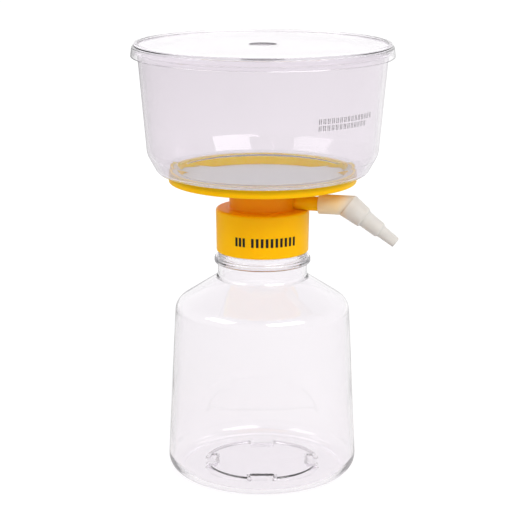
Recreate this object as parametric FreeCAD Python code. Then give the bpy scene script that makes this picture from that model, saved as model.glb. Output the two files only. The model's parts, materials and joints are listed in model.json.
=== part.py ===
"""A bottle-top vacuum filtration unit, in millimetres.

A clear funnel with a loose lid is welded on a one-piece filter base.  The base holds the membrane on a
ribbed drain plate, and its threaded collar screws on a clear receiver bottle.  Air is drawn through a side
port, which carries a swivelling elbow for the hose.

+Z is up.  The origin is the centre of the ring that the bottle stands on, and +X is the way the port points.
"""
import FreeCAD
import Part
import math
import os

# ---- receiver bottle ------------------------------------------------------------------------------------
BASE_R = 47.25            # where the body wall would meet the floor
HEEL_ROUND = 8.8
BODY_HEIGHT = 86.0        # up to the corner of wall and shoulder
BODY_TOP_R = 42.85        # the body narrows a little towards the shoulder
SHOULDER_ANGLE = 33.0     # above level, in degrees
SHOULDER_ROUND = 7.0
BOTTLE_WALL = 1.5
PUSH_UP_R = 27.8          # lower edge of the pushed-up disc under the base
PUSH_UP_RISE = 2.3
PUSH_UP_DRAFT = 1.8       # how much narrower the disc is at its top
NOTCHES = 4               # where the low ring reaches into the disc
NOTCH_WIDTH = 13.0
NOTCH_DEPTH = 5.6
NOTCH_TURN = 13.0         # degrees from +X to the first notch
NECK_STAND = 1.8          # how far the neck stands out from the finish
NECK_WALL = 2.1
NECK_HEIGHT = 6.9         # from the shoulder to the underside of the bead
BEAD_STAND = 1.6          # how far the bead stands out from the neck
BEAD_HEIGHT = 2.8
BEAD_LAND_HEIGHT = 2.4    # plain band between the bead and the thread
FINISH_HEIGHT = 20.6      # from the top of the bead to the lip
BORE_R = 18.3
FINISH_WALL = 1.9

# ---- screw joint ----------------------------------------------------------------------------------------
THREAD_LEAD = 4.23        # rise of the single right-hand ridge in one turn
THREAD_DEPTH = 1.0
THREAD_CREST = 0.7        # width of the ridge's flat crest
THREAD_FLANK = 0.8        # how far each flank runs along the axis
THREAD_SINK = 0.5         # how deep a ridge's root lies in its wall
THREAD_GAP = 0.2          # radial room between the two threaded pieces
BOTTLE_THREAD_FOOT = 7.0  # from the top of the bead to the middle of the ridge's lower end
BOTTLE_THREAD_TURNS = 1.25
COLLAR_THREAD_FOOT = 2.0  # from the collar's lower edge, half a lead under the bottle's ridge
COLLAR_THREAD_TURNS = 1.0
COLLAR_WALL = 1.5
COLLAR_CEILING = 2.0
COLLAR_FOOT_GAP = 3.05    # from the bead to the collar's lower edge when screwed home
COLLAR_DRAFT = 0.35       # how much narrower the collar is at its lower edge
SEAL_HEIGHT = 1.6
SEAL_OVERHANG = 1.5       # how far the ring reaches in past the bottle's bore
SEAL_GAP = 0.4            # radial room round the sealing ring

# ---- filter base: hub, drain plate and port -------------------------------------------------------------
HUB_INSET = 2.0           # how much narrower the hub is than the bottle's bore
HUB_WALL = 1.8
HUB_HEIGHT = 13.3         # from the top of the collar to the lower edge of the plate's rim
PLATE_R = 45.7
RIM_HEIGHT = 4.7
RIM_WALL = 1.7
RIM_EDGE = 1.0            # the narrow flat under the rim
SEAT_RISE = 0.5           # the membrane's seat above the lower edge of the rim
SEAT_WIDTH = 4.0
DRAIN_DEPTH = 0.4         # the drain floor's outer edge below the membrane's seat
DRAIN_SLOPE = 0.02        # fall of the drain floor, in mm for each mm of radius
FLOOR_WALL = 1.0
SPOUT_R = 4.6
SPOUT_BORE_R = 3.0
SPOUT_LENGTH = 22.0       # below the drain floor
RIB_FIRST_R = 8.0
RIB_PITCH = 6.0
RIB_WALL = 1.0
CHANNELS = 8
CHANNEL_WIDTH = 2.6
PORT_R = 3.5
PORT_BORE_R = 2.2
PORT_SINK = 0.45          # how deep the port's underside lies in the top of the collar
PLUG_LENGTH = 9.0
PLUG_INSET = 1.5          # from the port's end to the plug
PLUG_GAP = 0.05

# ---- membrane and funnel --------------------------------------------------------------------------------
MEMBRANE_THICK = 0.2
MEMBRANE_GAP = 0.2        # radial room round the membrane inside the rim
WELD_GAP = 0.1            # round the weld between the funnel and the rim
FOOT_WALL = 2.7           # the part of the funnel that reaches down inside the rim
FUNNEL_WALL = 1.7
TURN_OUT = 5.3            # from the rim out to the lower corner of the bowl
TURN_ROUND = 2.7
LOW_OUT = 5.1             # from there out to the upper corner of the bowl
LOW_RISE = 9.2            # above the flange that lies on the rim
LOW_ROUND = 9.0
MOUTH_OUT = 4.1           # from there out to the mouth
FUNNEL_HEIGHT = 60.4      # from the flange that lies on the rim to the mouth
MOUTH_BEAD = 1.1          # how far the bead round the mouth stands out
MOUTH_BEAD_HEIGHT = 2.6

# ---- lid ------------------------------------------------------------------------------------------------
LID_WALL = 1.2
LID_GAP = 0.3             # radial room between skirt and funnel
LID_RING_RISE = 0.9       # the raised ring above the panel
LID_RING_WIDTH = 2.0
LID_STEP = 0.9            # how far the skirt stands out from the raised ring
LID_STEP_DROP = 1.7       # the step below the top of the ring
LID_SKIRT_DROP = 4.4      # the skirt's lower edge below the mouth
LID_SKIRT_FLARE = 0.6
GATE_R = 6.6
GATE_DEPTH = 0.9

# ---- hose elbow -----------------------------------------------------------------------------------------
SLEEVE_WALL = 1.25
SLEEVE_GAP = 0.05         # running fit on the port
COLLAR_CLEAR = 5.2        # from the collar out to the sleeve's open end
GRIP_LENGTH = 11.4        # how far the port reaches into the sleeve
PORT_STOP_GAP = 0.3       # from the port's end to the stop inside the sleeve
BEND_LENGTH = 2.8         # from the port's end to the corner of the elbow
BEND_ANGLE = 36.0         # degrees below level
STEP_LENGTH = 9.8         # each of the nozzle's three steps
STEP_FAR_R = (5.15, 3.85, 2.6)
STEP_NEAR_R = (4.3, 3.1)  # of the second and third; the first starts as wide as the bend
STEP_SHOULDER = 0.5       # how far the slope between two steps runs
ELBOW_BORE_R = 1.8
ROOT_STAND = 0.15         # how far the nozzle's root stands out from the slanted end of the sleeve

EDGE = 0.4                # easing of small moulded edges
FINE_EDGE = 0.8           # easings up to this are straight chamfers, and larger ones are arcs

# ---- levels and radii that follow from the sizes above --------------------------------------------------
FINISH_R = BORE_R + FINISH_WALL
NECK_R = FINISH_R + NECK_STAND
NECK_Z = BODY_HEIGHT + (BODY_TOP_R - NECK_R) * math.tan(math.radians(SHOULDER_ANGLE))
BEAD_Z = NECK_Z + NECK_HEIGHT
BEAD_TOP_Z = BEAD_Z + BEAD_HEIGHT
LIP_Z = BEAD_TOP_Z + FINISH_HEIGHT
COLLAR_IN_R = FINISH_R + THREAD_DEPTH + THREAD_GAP
COLLAR_R = COLLAR_IN_R + COLLAR_WALL
SEAL_IN_R = BORE_R - SEAL_OVERHANG
CEILING_Z = LIP_Z + SEAL_HEIGHT
COLLAR_TOP_Z = CEILING_Z + COLLAR_CEILING
COLLAR_FOOT_Z = BEAD_TOP_Z + COLLAR_FOOT_GAP
HUB_R = BORE_R - HUB_INSET
PORT_Z = COLLAR_TOP_Z + PORT_R - PORT_SINK
SLEEVE_START = COLLAR_R + COLLAR_CLEAR
PORT_REACH = SLEEVE_START + GRIP_LENGTH
BEND_REACH = PORT_REACH + BEND_LENGTH
RIM_Z = COLLAR_TOP_Z + HUB_HEIGHT
RIM_TOP_Z = RIM_Z + RIM_HEIGHT
RIM_IN_R = PLATE_R - RIM_WALL
SEAT_Z = RIM_Z + SEAT_RISE
SEAT_IN_R = RIM_IN_R - SEAT_WIDTH
MEMBRANE_R = RIM_IN_R - MEMBRANE_GAP
MEMBRANE_TOP_Z = SEAT_Z + MEMBRANE_THICK
FLANGE_Z = RIM_TOP_Z + WELD_GAP
TURN_R = PLATE_R + TURN_OUT
LOW_R = TURN_R + LOW_OUT
MOUTH_R = LOW_R + MOUTH_OUT
MOUTH_Z = FLANGE_Z + FUNNEL_HEIGHT
LID_TOP_Z = MOUTH_Z + LID_WALL + LID_RING_RISE

ORIGIN = FreeCAD.Vector(0, 0, 0)
UP = FreeCAD.Vector(0, 0, 1)
OUT = FreeCAD.Vector(1, 0, 0)


# ---- outlines -------------------------------------------------------------------------------------------
def eased_wire(corners):
    """Closed wire in the XZ plane through (radius, height, easing) corners.

    A corner gets a tangent arc of its easing, or where that is no more than FINE_EDGE a straight chamfer.
    """
    points = [FreeCAD.Vector(corner[0], 0, corner[1]) for corner in corners]
    count = len(points)
    bends = []
    for i, here in enumerate(points):
        back = points[i - 1] - here
        ahead = points[(i + 1) % count] - here
        half = back.getAngle(ahead) / 2
        room = 0.49 * min(back.Length, ahead.Length)
        run = min(corners[i][2] / math.tan(half), room)
        back.normalize()
        ahead.normalize()
        middle_way = back + ahead
        if run < 1e-6 or middle_way.Length < 1e-6:
            bends.append((here, None, here))
            continue
        middle_way.normalize()
        nearest = run / math.cos(half) - run * math.tan(half)
        middle = here + middle_way * nearest if corners[i][2] > FINE_EDGE else None
        bends.append((here + back * run, middle, here + ahead * run))
    edges = []
    for i, (start, middle, end) in enumerate(bends):
        if middle is not None:
            edges.append(Part.Arc(start, middle, end).toShape())
        elif end.distanceToPoint(start) > 1e-6:
            edges.append(Part.LineSegment(start, end).toShape())
        following = bends[(i + 1) % count][0]
        if end.distanceToPoint(following) > 1e-6:
            edges.append(Part.LineSegment(end, following).toShape())
    return Part.Wire(edges)


def inset(chain, wall):
    """An open chain of (radius, height, easing) corners moved to its left by the wall's thickness."""
    lines = []
    for (r0, z0, _), (r1, z1, _) in zip(chain, chain[1:]):
        length = math.hypot(r1 - r0, z1 - z0)
        along = ((r1 - r0) / length, (z1 - z0) / length)
        lines.append((r0 - along[1] * wall, z0 + along[0] * wall, along))
    moved = [(lines[0][0], lines[0][1], chain[0][2])]
    for (r0, z0, a), (r1, z1, b), corner in zip(lines, lines[1:], chain[1:]):
        turn = a[0] * b[1] - a[1] * b[0]
        reach = ((r1 - r0) * b[1] - (z1 - z0) * b[0]) / turn
        easing = corner[2] - math.copysign(wall, turn)
        moved.append((r0 + a[0] * reach, z0 + a[1] * reach, max(easing, EDGE) if corner[2] else 0))
    r_last, z_last, last_easing = chain[-1]
    along = lines[-1][2]
    moved.append((r_last - along[1] * wall, z_last + along[0] * wall, last_easing))
    return moved


def turned(corners):
    """Solid of revolution about the Z axis from (radius, height, easing) corners."""
    return Part.Face(eased_wire(corners)).revolve(ORIGIN, UP, 360)


def around(shape, degrees):
    """A copy of the shape turned about the Z axis."""
    copy = shape.copy()
    copy.rotate(ORIGIN, UP, degrees)
    return copy


def radial_block(near, far, width, low, high, degrees):
    """Box that runs outwards from one radius to another, at one angle about the Z axis."""
    box = Part.makeBox(far - near, width, high - low, FreeCAD.Vector(near, -width / 2, low))
    return around(box, degrees)


def thread_ridge(wall_r, out_way, foot_z, turns):
    """Right-hand helical ridge on a round wall; out_way is 1 for a ridge outside it and -1 for one inside.

    Its root is sunk in the wall by as much as the ridge stands out, so that the two fuse cleanly.
    """
    slope = THREAD_FLANK / THREAD_DEPTH
    crest_r = wall_r + out_way * THREAD_DEPTH
    root_r = wall_r - out_way * THREAD_SINK
    half_crest = THREAD_CREST / 2
    half_root = half_crest + slope * (THREAD_DEPTH + THREAD_SINK)
    profile = Part.makePolygon([FreeCAD.Vector(r, 0, foot_z + z) for r, z in (
        (root_r, -half_root), (crest_r, -half_crest), (crest_r, half_crest), (root_r, half_root),
        (root_r, -half_root))])
    path = Part.makeHelix(THREAD_LEAD, THREAD_LEAD * turns, wall_r)
    path.translate(FreeCAD.Vector(0, 0, foot_z))
    return Part.Wire(path.Edges).makePipeShell([profile], True, True)


# ---- pieces ---------------------------------------------------------------------------------------------
def notched_disc(radius, notch_width, low, high):
    """Disc with sloping sides, of the radius at the floor, and a notch at each of the base's angles."""
    slope = PUSH_UP_DRAFT / PUSH_UP_RISE
    disc = Part.makeCone(radius - slope * low, radius - slope * high, high - low,
                         FreeCAD.Vector(0, 0, low))
    notch_in_r = radius - NOTCH_DEPTH
    for i in range(NOTCHES):
        angle = NOTCH_TURN + i * 360 / NOTCHES
        disc = disc.cut(radial_block(notch_in_r, radius + 1, notch_width, low - 1, high + 1, angle))
    return disc


def make_bottle():
    """Blown bottle: notched push-up, tapered body, sloping shoulder, bead and finish."""
    outside = [
        (0, 0, 0),
        (BASE_R, 0, HEEL_ROUND),
        (BODY_TOP_R, BODY_HEIGHT, SHOULDER_ROUND),
        (NECK_R, NECK_Z, 2.5),
    ]
    bead_r = NECK_R + BEAD_STAND
    land_r = COLLAR_IN_R + EDGE
    land_top_z = BEAD_TOP_Z + BEAD_LAND_HEIGHT
    finish = [
        (NECK_R, BEAD_Z, EDGE),
        (bead_r, BEAD_Z, 0.45 * BEAD_HEIGHT),
        (bead_r, BEAD_TOP_Z, 0.45 * BEAD_HEIGHT),
        (land_r, BEAD_TOP_Z, EDGE),
        (land_r, land_top_z, EDGE),
        (FINISH_R, land_top_z, EDGE),
        (FINISH_R, LIP_Z, EDGE),
        (BORE_R, LIP_Z, EDGE),
        (BORE_R, BEAD_TOP_Z, 2.0),
        (NECK_R - NECK_WALL, BEAD_Z, 2.0),
    ]
    inside = inset(outside, BOTTLE_WALL)
    neck_in_r = NECK_R - NECK_WALL
    in_r, in_z, _ = inside[-1]
    inside[-1] = (neck_in_r, in_z + (in_r - neck_in_r) * math.tan(math.radians(SHOULDER_ANGLE)), 3.0)
    bottle = turned(outside + finish + inside[::-1])

    raised = notched_disc(PUSH_UP_R + BOTTLE_WALL, NOTCH_WIDTH - 2 * BOTTLE_WALL,
                          BOTTLE_WALL / 2, PUSH_UP_RISE + BOTTLE_WALL)
    hollow = notched_disc(PUSH_UP_R, NOTCH_WIDTH, -1, PUSH_UP_RISE)
    ridge = thread_ridge(FINISH_R, 1, BEAD_TOP_Z + BOTTLE_THREAD_FOOT, BOTTLE_THREAD_TURNS)
    return bottle.fuse(raised).cut(hollow).fuse(ridge)


def make_sealing_ring():
    """Flat elastomer ring between the bottle's lip and the collar's ceiling."""
    out_r = COLLAR_IN_R - SEAL_GAP
    return turned([
        (SEAL_IN_R, LIP_Z, 0.3),
        (out_r, LIP_Z, 0.3),
        (out_r, CEILING_Z, 0.3),
        (SEAL_IN_R, CEILING_Z, 0.3),
    ])


def make_filter_base():
    """One moulding: drain plate with rim and ribs, spout, hub, port and threaded collar."""
    rim_under_r = PLATE_R - RIM_EDGE
    hub_in_r = HUB_R - HUB_WALL
    step_r = SEAT_IN_R + FLOOR_WALL

    def floor_z(radius):
        """Height of the drain floor at a radius."""
        return SEAT_Z - DRAIN_DEPTH - DRAIN_SLOPE * (SEAT_IN_R - radius)

    def under_z(radius):
        """Height of the plate's underside at a radius."""
        return floor_z(radius) - FLOOR_WALL

    spout_z = under_z(SPOUT_R) - SPOUT_LENGTH
    body = turned([
        (SPOUT_BORE_R, floor_z(SPOUT_BORE_R), 0),
        (SPOUT_BORE_R, spout_z, 0),
        (SPOUT_R, spout_z, EDGE),
        (SPOUT_R, under_z(SPOUT_R), 0.8),
        (hub_in_r, under_z(hub_in_r), 0.8),
        (hub_in_r, CEILING_Z, EDGE),
        (COLLAR_IN_R, CEILING_Z, 0.3),
        (COLLAR_IN_R, COLLAR_FOOT_Z, EDGE),
        (COLLAR_R - COLLAR_DRAFT, COLLAR_FOOT_Z, EDGE),
        (COLLAR_R, COLLAR_TOP_Z, 1.0),
        (HUB_R, COLLAR_TOP_Z, 0.8),
        (HUB_R, under_z(HUB_R), 0.8),
        (step_r, under_z(SEAT_IN_R), 0),
        (rim_under_r, RIM_Z, 0),
        (PLATE_R, RIM_Z, 0.8),
        (PLATE_R, RIM_TOP_Z, EDGE),
        (RIM_IN_R, RIM_TOP_Z, EDGE),
        (RIM_IN_R, SEAT_Z, 0),
        (SEAT_IN_R, SEAT_Z, 0),
        (SEAT_IN_R, floor_z(SEAT_IN_R), 0),
    ])
    rib_count = int((SEAT_IN_R - RIB_FIRST_R) // RIB_PITCH)
    for i in range(rib_count):
        rib_in_r = RIB_FIRST_R + i * RIB_PITCH
        rib_foot_z = floor_z(rib_in_r) - FLOOR_WALL / 2
        rib_foot = FreeCAD.Vector(0, 0, rib_foot_z)
        ring = Part.makeCylinder(rib_in_r + RIB_WALL, SEAT_Z - rib_foot_z, rib_foot)
        ring = ring.cut(Part.makeCylinder(rib_in_r, SEAT_Z - rib_foot_z, rib_foot))
        for j in range(CHANNELS):
            ring = ring.cut(radial_block(rib_in_r - 1, rib_in_r + RIB_WALL + 1, CHANNEL_WIDTH,
                                         rib_foot_z - 1, SEAT_Z + 1, j * 360 / CHANNELS))
        body = body.fuse(ring)

    port_root = HUB_R - HUB_WALL / 2
    port_base = FreeCAD.Vector(port_root, 0, PORT_Z)
    port = Part.makeCylinder(PORT_R, PORT_REACH - port_root, port_base, OUT)
    port = port.makeChamfer(EDGE, [edge for edge in port.Edges
                                   if edge.BoundBox.XMin > PORT_REACH - EDGE])
    bore_base = FreeCAD.Vector(SPOUT_R + 1, 0, PORT_Z)
    bore = Part.makeCylinder(PORT_BORE_R, PORT_REACH, bore_base, OUT)
    ridge = thread_ridge(COLLAR_IN_R, -1, COLLAR_FOOT_Z + COLLAR_THREAD_FOOT, COLLAR_THREAD_TURNS)
    return body.fuse(port).cut(bore).fuse(ridge)


def make_port_plug():
    """Cotton plug in the outer end of the port."""
    far = PORT_REACH - PLUG_INSET
    base = FreeCAD.Vector(far - PLUG_LENGTH, 0, PORT_Z)
    return Part.makeCylinder(PORT_BORE_R - PLUG_GAP, PLUG_LENGTH, base, OUT)


def make_membrane():
    """Thin filter disc on the plate's seat and ribs."""
    return Part.makeCylinder(MEMBRANE_R, MEMBRANE_THICK, FreeCAD.Vector(0, 0, SEAT_Z))


def make_funnel():
    """Clear bowl whose flange lies on the plate's rim and whose foot clamps the membrane."""
    foot_out_r = RIM_IN_R - WELD_GAP
    foot_in_r = foot_out_r - FOOT_WALL
    bead_r = MOUTH_R + MOUTH_BEAD
    outside = [
        (foot_out_r, FLANGE_Z, 0),
        (TURN_R, FLANGE_Z, TURN_ROUND),
        (LOW_R, FLANGE_Z + LOW_RISE, LOW_ROUND),
        (MOUTH_R, MOUTH_Z, EDGE),
    ]
    lining = inset(outside, FUNNEL_WALL)
    bead = [
        (MOUTH_R, MOUTH_Z - MOUTH_BEAD_HEIGHT, EDGE),
        (bead_r, MOUTH_Z - MOUTH_BEAD_HEIGHT, EDGE),
        (bead_r, MOUTH_Z, EDGE),
    ]
    foot = [
        (foot_in_r, FLANGE_Z + FUNNEL_WALL, 1.0),
        (foot_in_r, MEMBRANE_TOP_Z, 0),
        (foot_out_r, MEMBRANE_TOP_Z, 0),
    ]
    mouth = (lining[-1][0], MOUTH_Z, EDGE)
    return turned(outside[:-1] + bead + [mouth, lining[2], lining[1]] + foot)


def make_lid():
    """Loose clear cover: recessed panel, raised ring, stepped skirt and a dimple at the moulding point."""
    panel_top = MOUTH_Z + LID_WALL
    skirt_in_r = MOUTH_R + MOUTH_BEAD + LID_GAP
    skirt_r = skirt_in_r + LID_WALL
    ring_r = skirt_r - LID_STEP
    step_z = LID_TOP_Z - LID_STEP_DROP
    skirt_z = MOUTH_Z - LID_SKIRT_DROP
    return turned([
        (0, panel_top - GATE_DEPTH, 0),
        (GATE_R, panel_top - GATE_DEPTH, 0.3),
        (GATE_R, panel_top, 0.3),
        (ring_r - LID_RING_WIDTH, panel_top, 0.5),
        (ring_r - LID_RING_WIDTH, LID_TOP_Z, 0.5),
        (ring_r, LID_TOP_Z, 0.7),
        (ring_r, step_z, 0.3),
        (skirt_r, step_z, 0.5),
        (skirt_r + LID_SKIRT_FLARE, skirt_z, EDGE),
        (skirt_in_r + LID_SKIRT_FLARE, skirt_z, EDGE),
        (skirt_in_r, MOUTH_Z, 0.5),
        (GATE_R + LID_WALL, MOUTH_Z, 0.5),
        (GATE_R + LID_WALL, MOUTH_Z - GATE_DEPTH, 0.3),
        (0, MOUTH_Z - GATE_DEPTH, 0),
    ])


def make_hose_elbow():
    """Soft elbow: sleeve on the port, bend, and a nozzle with three tapered steps."""
    sleeve_bore_r = PORT_R + SLEEVE_GAP
    sleeve_r = sleeve_bore_r + SLEEVE_WALL
    bend = FreeCAD.Vector(BEND_REACH, 0, PORT_Z)
    along_nozzle = FreeCAD.Rotation(FreeCAD.Vector(0, 1, 0), 90 + BEND_ANGLE)
    root_r = sleeve_r / math.cos(math.radians(BEND_ANGLE)) + ROOT_STAND

    steps = [(0, 0, 0), (root_r, 0, 0)]
    for i, near_r in enumerate(STEP_NEAR_R, start=1):
        steps.append((STEP_FAR_R[i - 1], i * STEP_LENGTH, EDGE))
        steps.append((near_r, i * STEP_LENGTH + STEP_SHOULDER, EDGE))
    nozzle_length = len(STEP_FAR_R) * STEP_LENGTH
    steps.append((STEP_FAR_R[-1], nozzle_length, EDGE))
    steps.append((0, nozzle_length, 0))
    nozzle = turned(steps)
    nozzle.Placement = FreeCAD.Placement(bend, along_nozzle)

    sleeve_base = FreeCAD.Vector(SLEEVE_START, 0, PORT_Z)
    sleeve = Part.makeCylinder(sleeve_r, BEND_REACH + sleeve_r - SLEEVE_START, sleeve_base, OUT)
    beyond = Part.makeBox(8 * sleeve_r, 8 * sleeve_r, 8 * sleeve_r,
                          FreeCAD.Vector(-4 * sleeve_r, -4 * sleeve_r, 0))
    beyond.Placement = FreeCAD.Placement(bend, along_nozzle)
    elbow = sleeve.cut(beyond).fuse(nozzle)

    socket_end = PORT_REACH + PORT_STOP_GAP
    socket = Part.makeCylinder(sleeve_bore_r, socket_end - SLEEVE_START, sleeve_base, OUT)
    passage = Part.makeCylinder(ELBOW_BORE_R, BEND_REACH - SLEEVE_START, sleeve_base, OUT)
    corner = Part.makeSphere(ELBOW_BORE_R, bend)
    nozzle_bore = Part.makeCylinder(ELBOW_BORE_R, nozzle_length + 1)
    nozzle_bore.Placement = FreeCAD.Placement(bend, along_nozzle)
    return elbow.cut(socket.fuse(passage).fuse(corner).fuse(nozzle_bore))


PIECES = {
    "bottle": make_bottle,
    "sealing_ring": make_sealing_ring,
    "filter_base": make_filter_base,
    "port_plug": make_port_plug,
    "membrane": make_membrane,
    "funnel": make_funnel,
    "lid": make_lid,
    "hose_elbow": make_hose_elbow,
}


def main():
    """Write one STEP file for each piece."""
    os.makedirs("parts", exist_ok=True)
    for name, make in PIECES.items():
        shape = make()
        shape.exportStep("parts/" + name + ".step")
        box = shape.BoundBox
        print("%-13s solids %d valid %s volume %9.1f  z %.2f to %.2f"
              % (name, len(shape.Solids), shape.isValid(), shape.Volume, box.ZMin, box.ZMax))


main()
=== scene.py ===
# %% [markdown]
# # A bottle-top vacuum filtration unit
#
# Liquid poured in the clear funnel is pulled through a membrane by the vacuum in the bottle below it.  Nearly
# everything here is a body of revolution in clear plastic, so the lesson is about two things: drawing honest
# wall sections and turning them, and making clear plastic show on a white ground.
#
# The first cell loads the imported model.  Its pieces, joints and box are the frame that all below is hung on.

# %% Load the frame
import json
import math
import bmesh
import bpy
import mathutils
import numpy as np
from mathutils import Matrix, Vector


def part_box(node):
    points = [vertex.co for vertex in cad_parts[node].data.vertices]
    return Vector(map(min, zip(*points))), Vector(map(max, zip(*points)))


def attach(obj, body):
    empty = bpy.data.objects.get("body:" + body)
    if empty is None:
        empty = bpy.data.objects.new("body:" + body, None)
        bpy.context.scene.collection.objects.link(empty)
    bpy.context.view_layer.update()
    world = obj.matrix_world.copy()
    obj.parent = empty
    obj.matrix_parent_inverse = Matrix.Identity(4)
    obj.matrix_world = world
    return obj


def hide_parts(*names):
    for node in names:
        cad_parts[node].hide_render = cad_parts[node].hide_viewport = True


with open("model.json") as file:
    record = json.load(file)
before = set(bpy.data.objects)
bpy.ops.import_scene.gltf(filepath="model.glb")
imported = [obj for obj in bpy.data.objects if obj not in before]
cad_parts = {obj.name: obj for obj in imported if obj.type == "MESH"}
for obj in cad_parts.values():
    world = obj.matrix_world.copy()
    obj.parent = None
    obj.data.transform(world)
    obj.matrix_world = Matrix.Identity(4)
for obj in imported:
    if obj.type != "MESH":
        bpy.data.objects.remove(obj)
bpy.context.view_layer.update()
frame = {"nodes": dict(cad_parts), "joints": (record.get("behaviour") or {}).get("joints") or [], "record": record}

# %% [markdown]
# ## Lengths, colours and one node helper
#
# Wall sections are easiest to think of in millimetres, so every size below is in millimetres and a mesh is
# scaled to metres as it is made.  Colours are written as sRGB hex, the way a paint chart gives them, and one
# function turns them into the linear values that a shader needs.

# %% Small helpers
MM = 0.001


def linear(hex_colour):
    """sRGB hex to linear RGBA: a channel c is ((c + 0.055) / 1.055) to the power 2.4, or c / 12.92 if dark."""
    srgb = np.array([int(hex_colour[i:i + 2], 16) for i in (0, 2, 4)]) / 255
    return (*np.where(srgb > 0.04045, ((srgb + 0.055) / 1.055) ** 2.4, srgb / 12.92), 1.0)


def add(tree, kind, inputs=None, **settings):
    """Add a node.  Each input is a value, or another node's output socket to link from."""
    node = tree.nodes.new("ShaderNode" + kind)
    for key, value in settings.items():
        setattr(node, key, value)
    for key, value in (inputs or {}).items():
        if isinstance(value, bpy.types.NodeSocket):
            tree.links.new(value, node.inputs[key])
        else:
            node.inputs[key].default_value = value
    return node


def new_finish(name, constants):
    """A new material, its tree and its shader, with the constants set on the shader's own sockets."""
    material = bpy.data.materials.new(name)
    material.use_nodes = True
    shader = material.node_tree.nodes["Principled BSDF"]
    for socket, value in constants.items():
        shader.inputs[socket].default_value = value
    return material, material.node_tree, shader


def grain_bump(tree, shader, place, width, depth, strength):
    """Bump the shader's normal with a grain of this width and depth in mm, at a strength from 0 to 1."""
    grain = add(tree, "TexNoise", {"Vector": place, "Scale": 1 / (width * MM), "Detail": 2.0})
    bump = add(tree, "Bump", {"Strength": strength, "Distance": depth * MM, "Height": grain.outputs["Fac"]})
    tree.links.new(bump.outputs["Normal"], shader.inputs["Normal"])


def cad_extent(node):
    """Lowest and highest corner of a CAD node, in mm."""
    return [np.array(corner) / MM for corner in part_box(node)]


print("amber in linear light", [round(c, 3) for c in linear("F3AB15")])

# %% [markdown]
# ## Levels that the frame gives
#
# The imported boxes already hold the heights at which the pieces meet: the bottle's lip, the foot of the collar,
# the top of the plate's rim, the membrane's faces, the funnel's mouth and the top of the lid.  The port's height
# comes from the elbow's swivel joint and the nozzle's line from its mount.

# %% Read the levels
lip_z = cad_extent("bottle")[1][2]
ceiling_z = cad_extent("sealing_ring")[1][2]
base_low, base_high = cad_extent("filter_base")
collar_foot_z, rim_top_z, plate_r = base_low[2], base_high[2], -base_low[0]
membrane_low, membrane_high = cad_extent("membrane")
seat_z, membrane_top_z, membrane_r = membrane_low[2], membrane_high[2], membrane_high[0]
mouth_z = cad_extent("funnel")[1][2]
lid_low, lid_high = cad_extent("lid")
joints = {joint["name"]: joint for joint in frame["joints"]}
mounts = {mount["name"]: mount for mount in frame["record"]["mounts"]}
port_z = joints["elbow_swivel"]["pos_m"][2] / MM
nozzle_tip = np.array(mounts["hose_nozzle"]["pos_m"]) / MM
nozzle_way = np.array(mounts["hose_nozzle"]["axis"])
print("lip %.2f  rim top %.2f  mouth %.2f  lid top %.2f" % (lip_z, rim_top_z, mouth_z, lid_high[2]))

# %% [markdown]
# ## Camera
#
# A long lens, a little above the object.  The port is drawn along +X, and the camera stands 13 degrees round
# towards it, so that the elbow comes forward a little.  A small roll and two small shifts of the lens set how
# the unit stands in the frame.

# %% Camera
CAMERA_AZIMUTH = math.radians(13.0)
CAMERA_TILT = math.radians(13.76)
CAMERA_ROLL = math.radians(0.15)
CAMERA_DISTANCE = 795.5
CAMERA_HEIGHT = 301.4
LENS_PER_FRAME = 3.1824      # focal length over the picture's width
SENSOR_WIDTH = 36.0
LENS_SHIFT = (-0.0028, -0.001)

camera = bpy.data.objects.new("camera", bpy.data.cameras.new("camera"))
bpy.context.scene.collection.objects.link(camera)
bpy.context.scene.camera = camera
camera.location = (CAMERA_DISTANCE * math.sin(CAMERA_AZIMUTH) * MM,
                   -CAMERA_DISTANCE * math.cos(CAMERA_AZIMUTH) * MM,
                   CAMERA_HEIGHT * MM)
about = mathutils.Matrix.Rotation
camera.rotation_euler = (about(CAMERA_AZIMUTH, 3, "Z") @ about(math.pi / 2 - CAMERA_TILT, 3, "X")
                         @ about(CAMERA_ROLL, 3, "Z")).to_euler()
camera.data.sensor_width = SENSOR_WIDTH
camera.data.lens = LENS_PER_FRAME * SENSOR_WIDTH
camera.data.shift_x, camera.data.shift_y = LENS_SHIFT
print("lens %.1f mm" % camera.data.lens)

# %% [markdown]
# ## From corners to a section, and from a section to a skin
#
# A moulded part is drawn as its section: a chain of corners, each with the easing that the mould gives it.
# `section` puts a tangent arc at every corner.  `turned` carries the section round the axis as one grid of
# points, worked out as whole arrays.  A small `relief` function may then move the grid's radii and heights,
# which is how threads, notches and channels are made without a single Boolean cut.

# %% Sections
ARC_STEP = math.radians(11)
SUPPORT = 0.12               # an extra point this near the end of a straight run keeps its shading flat


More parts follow.
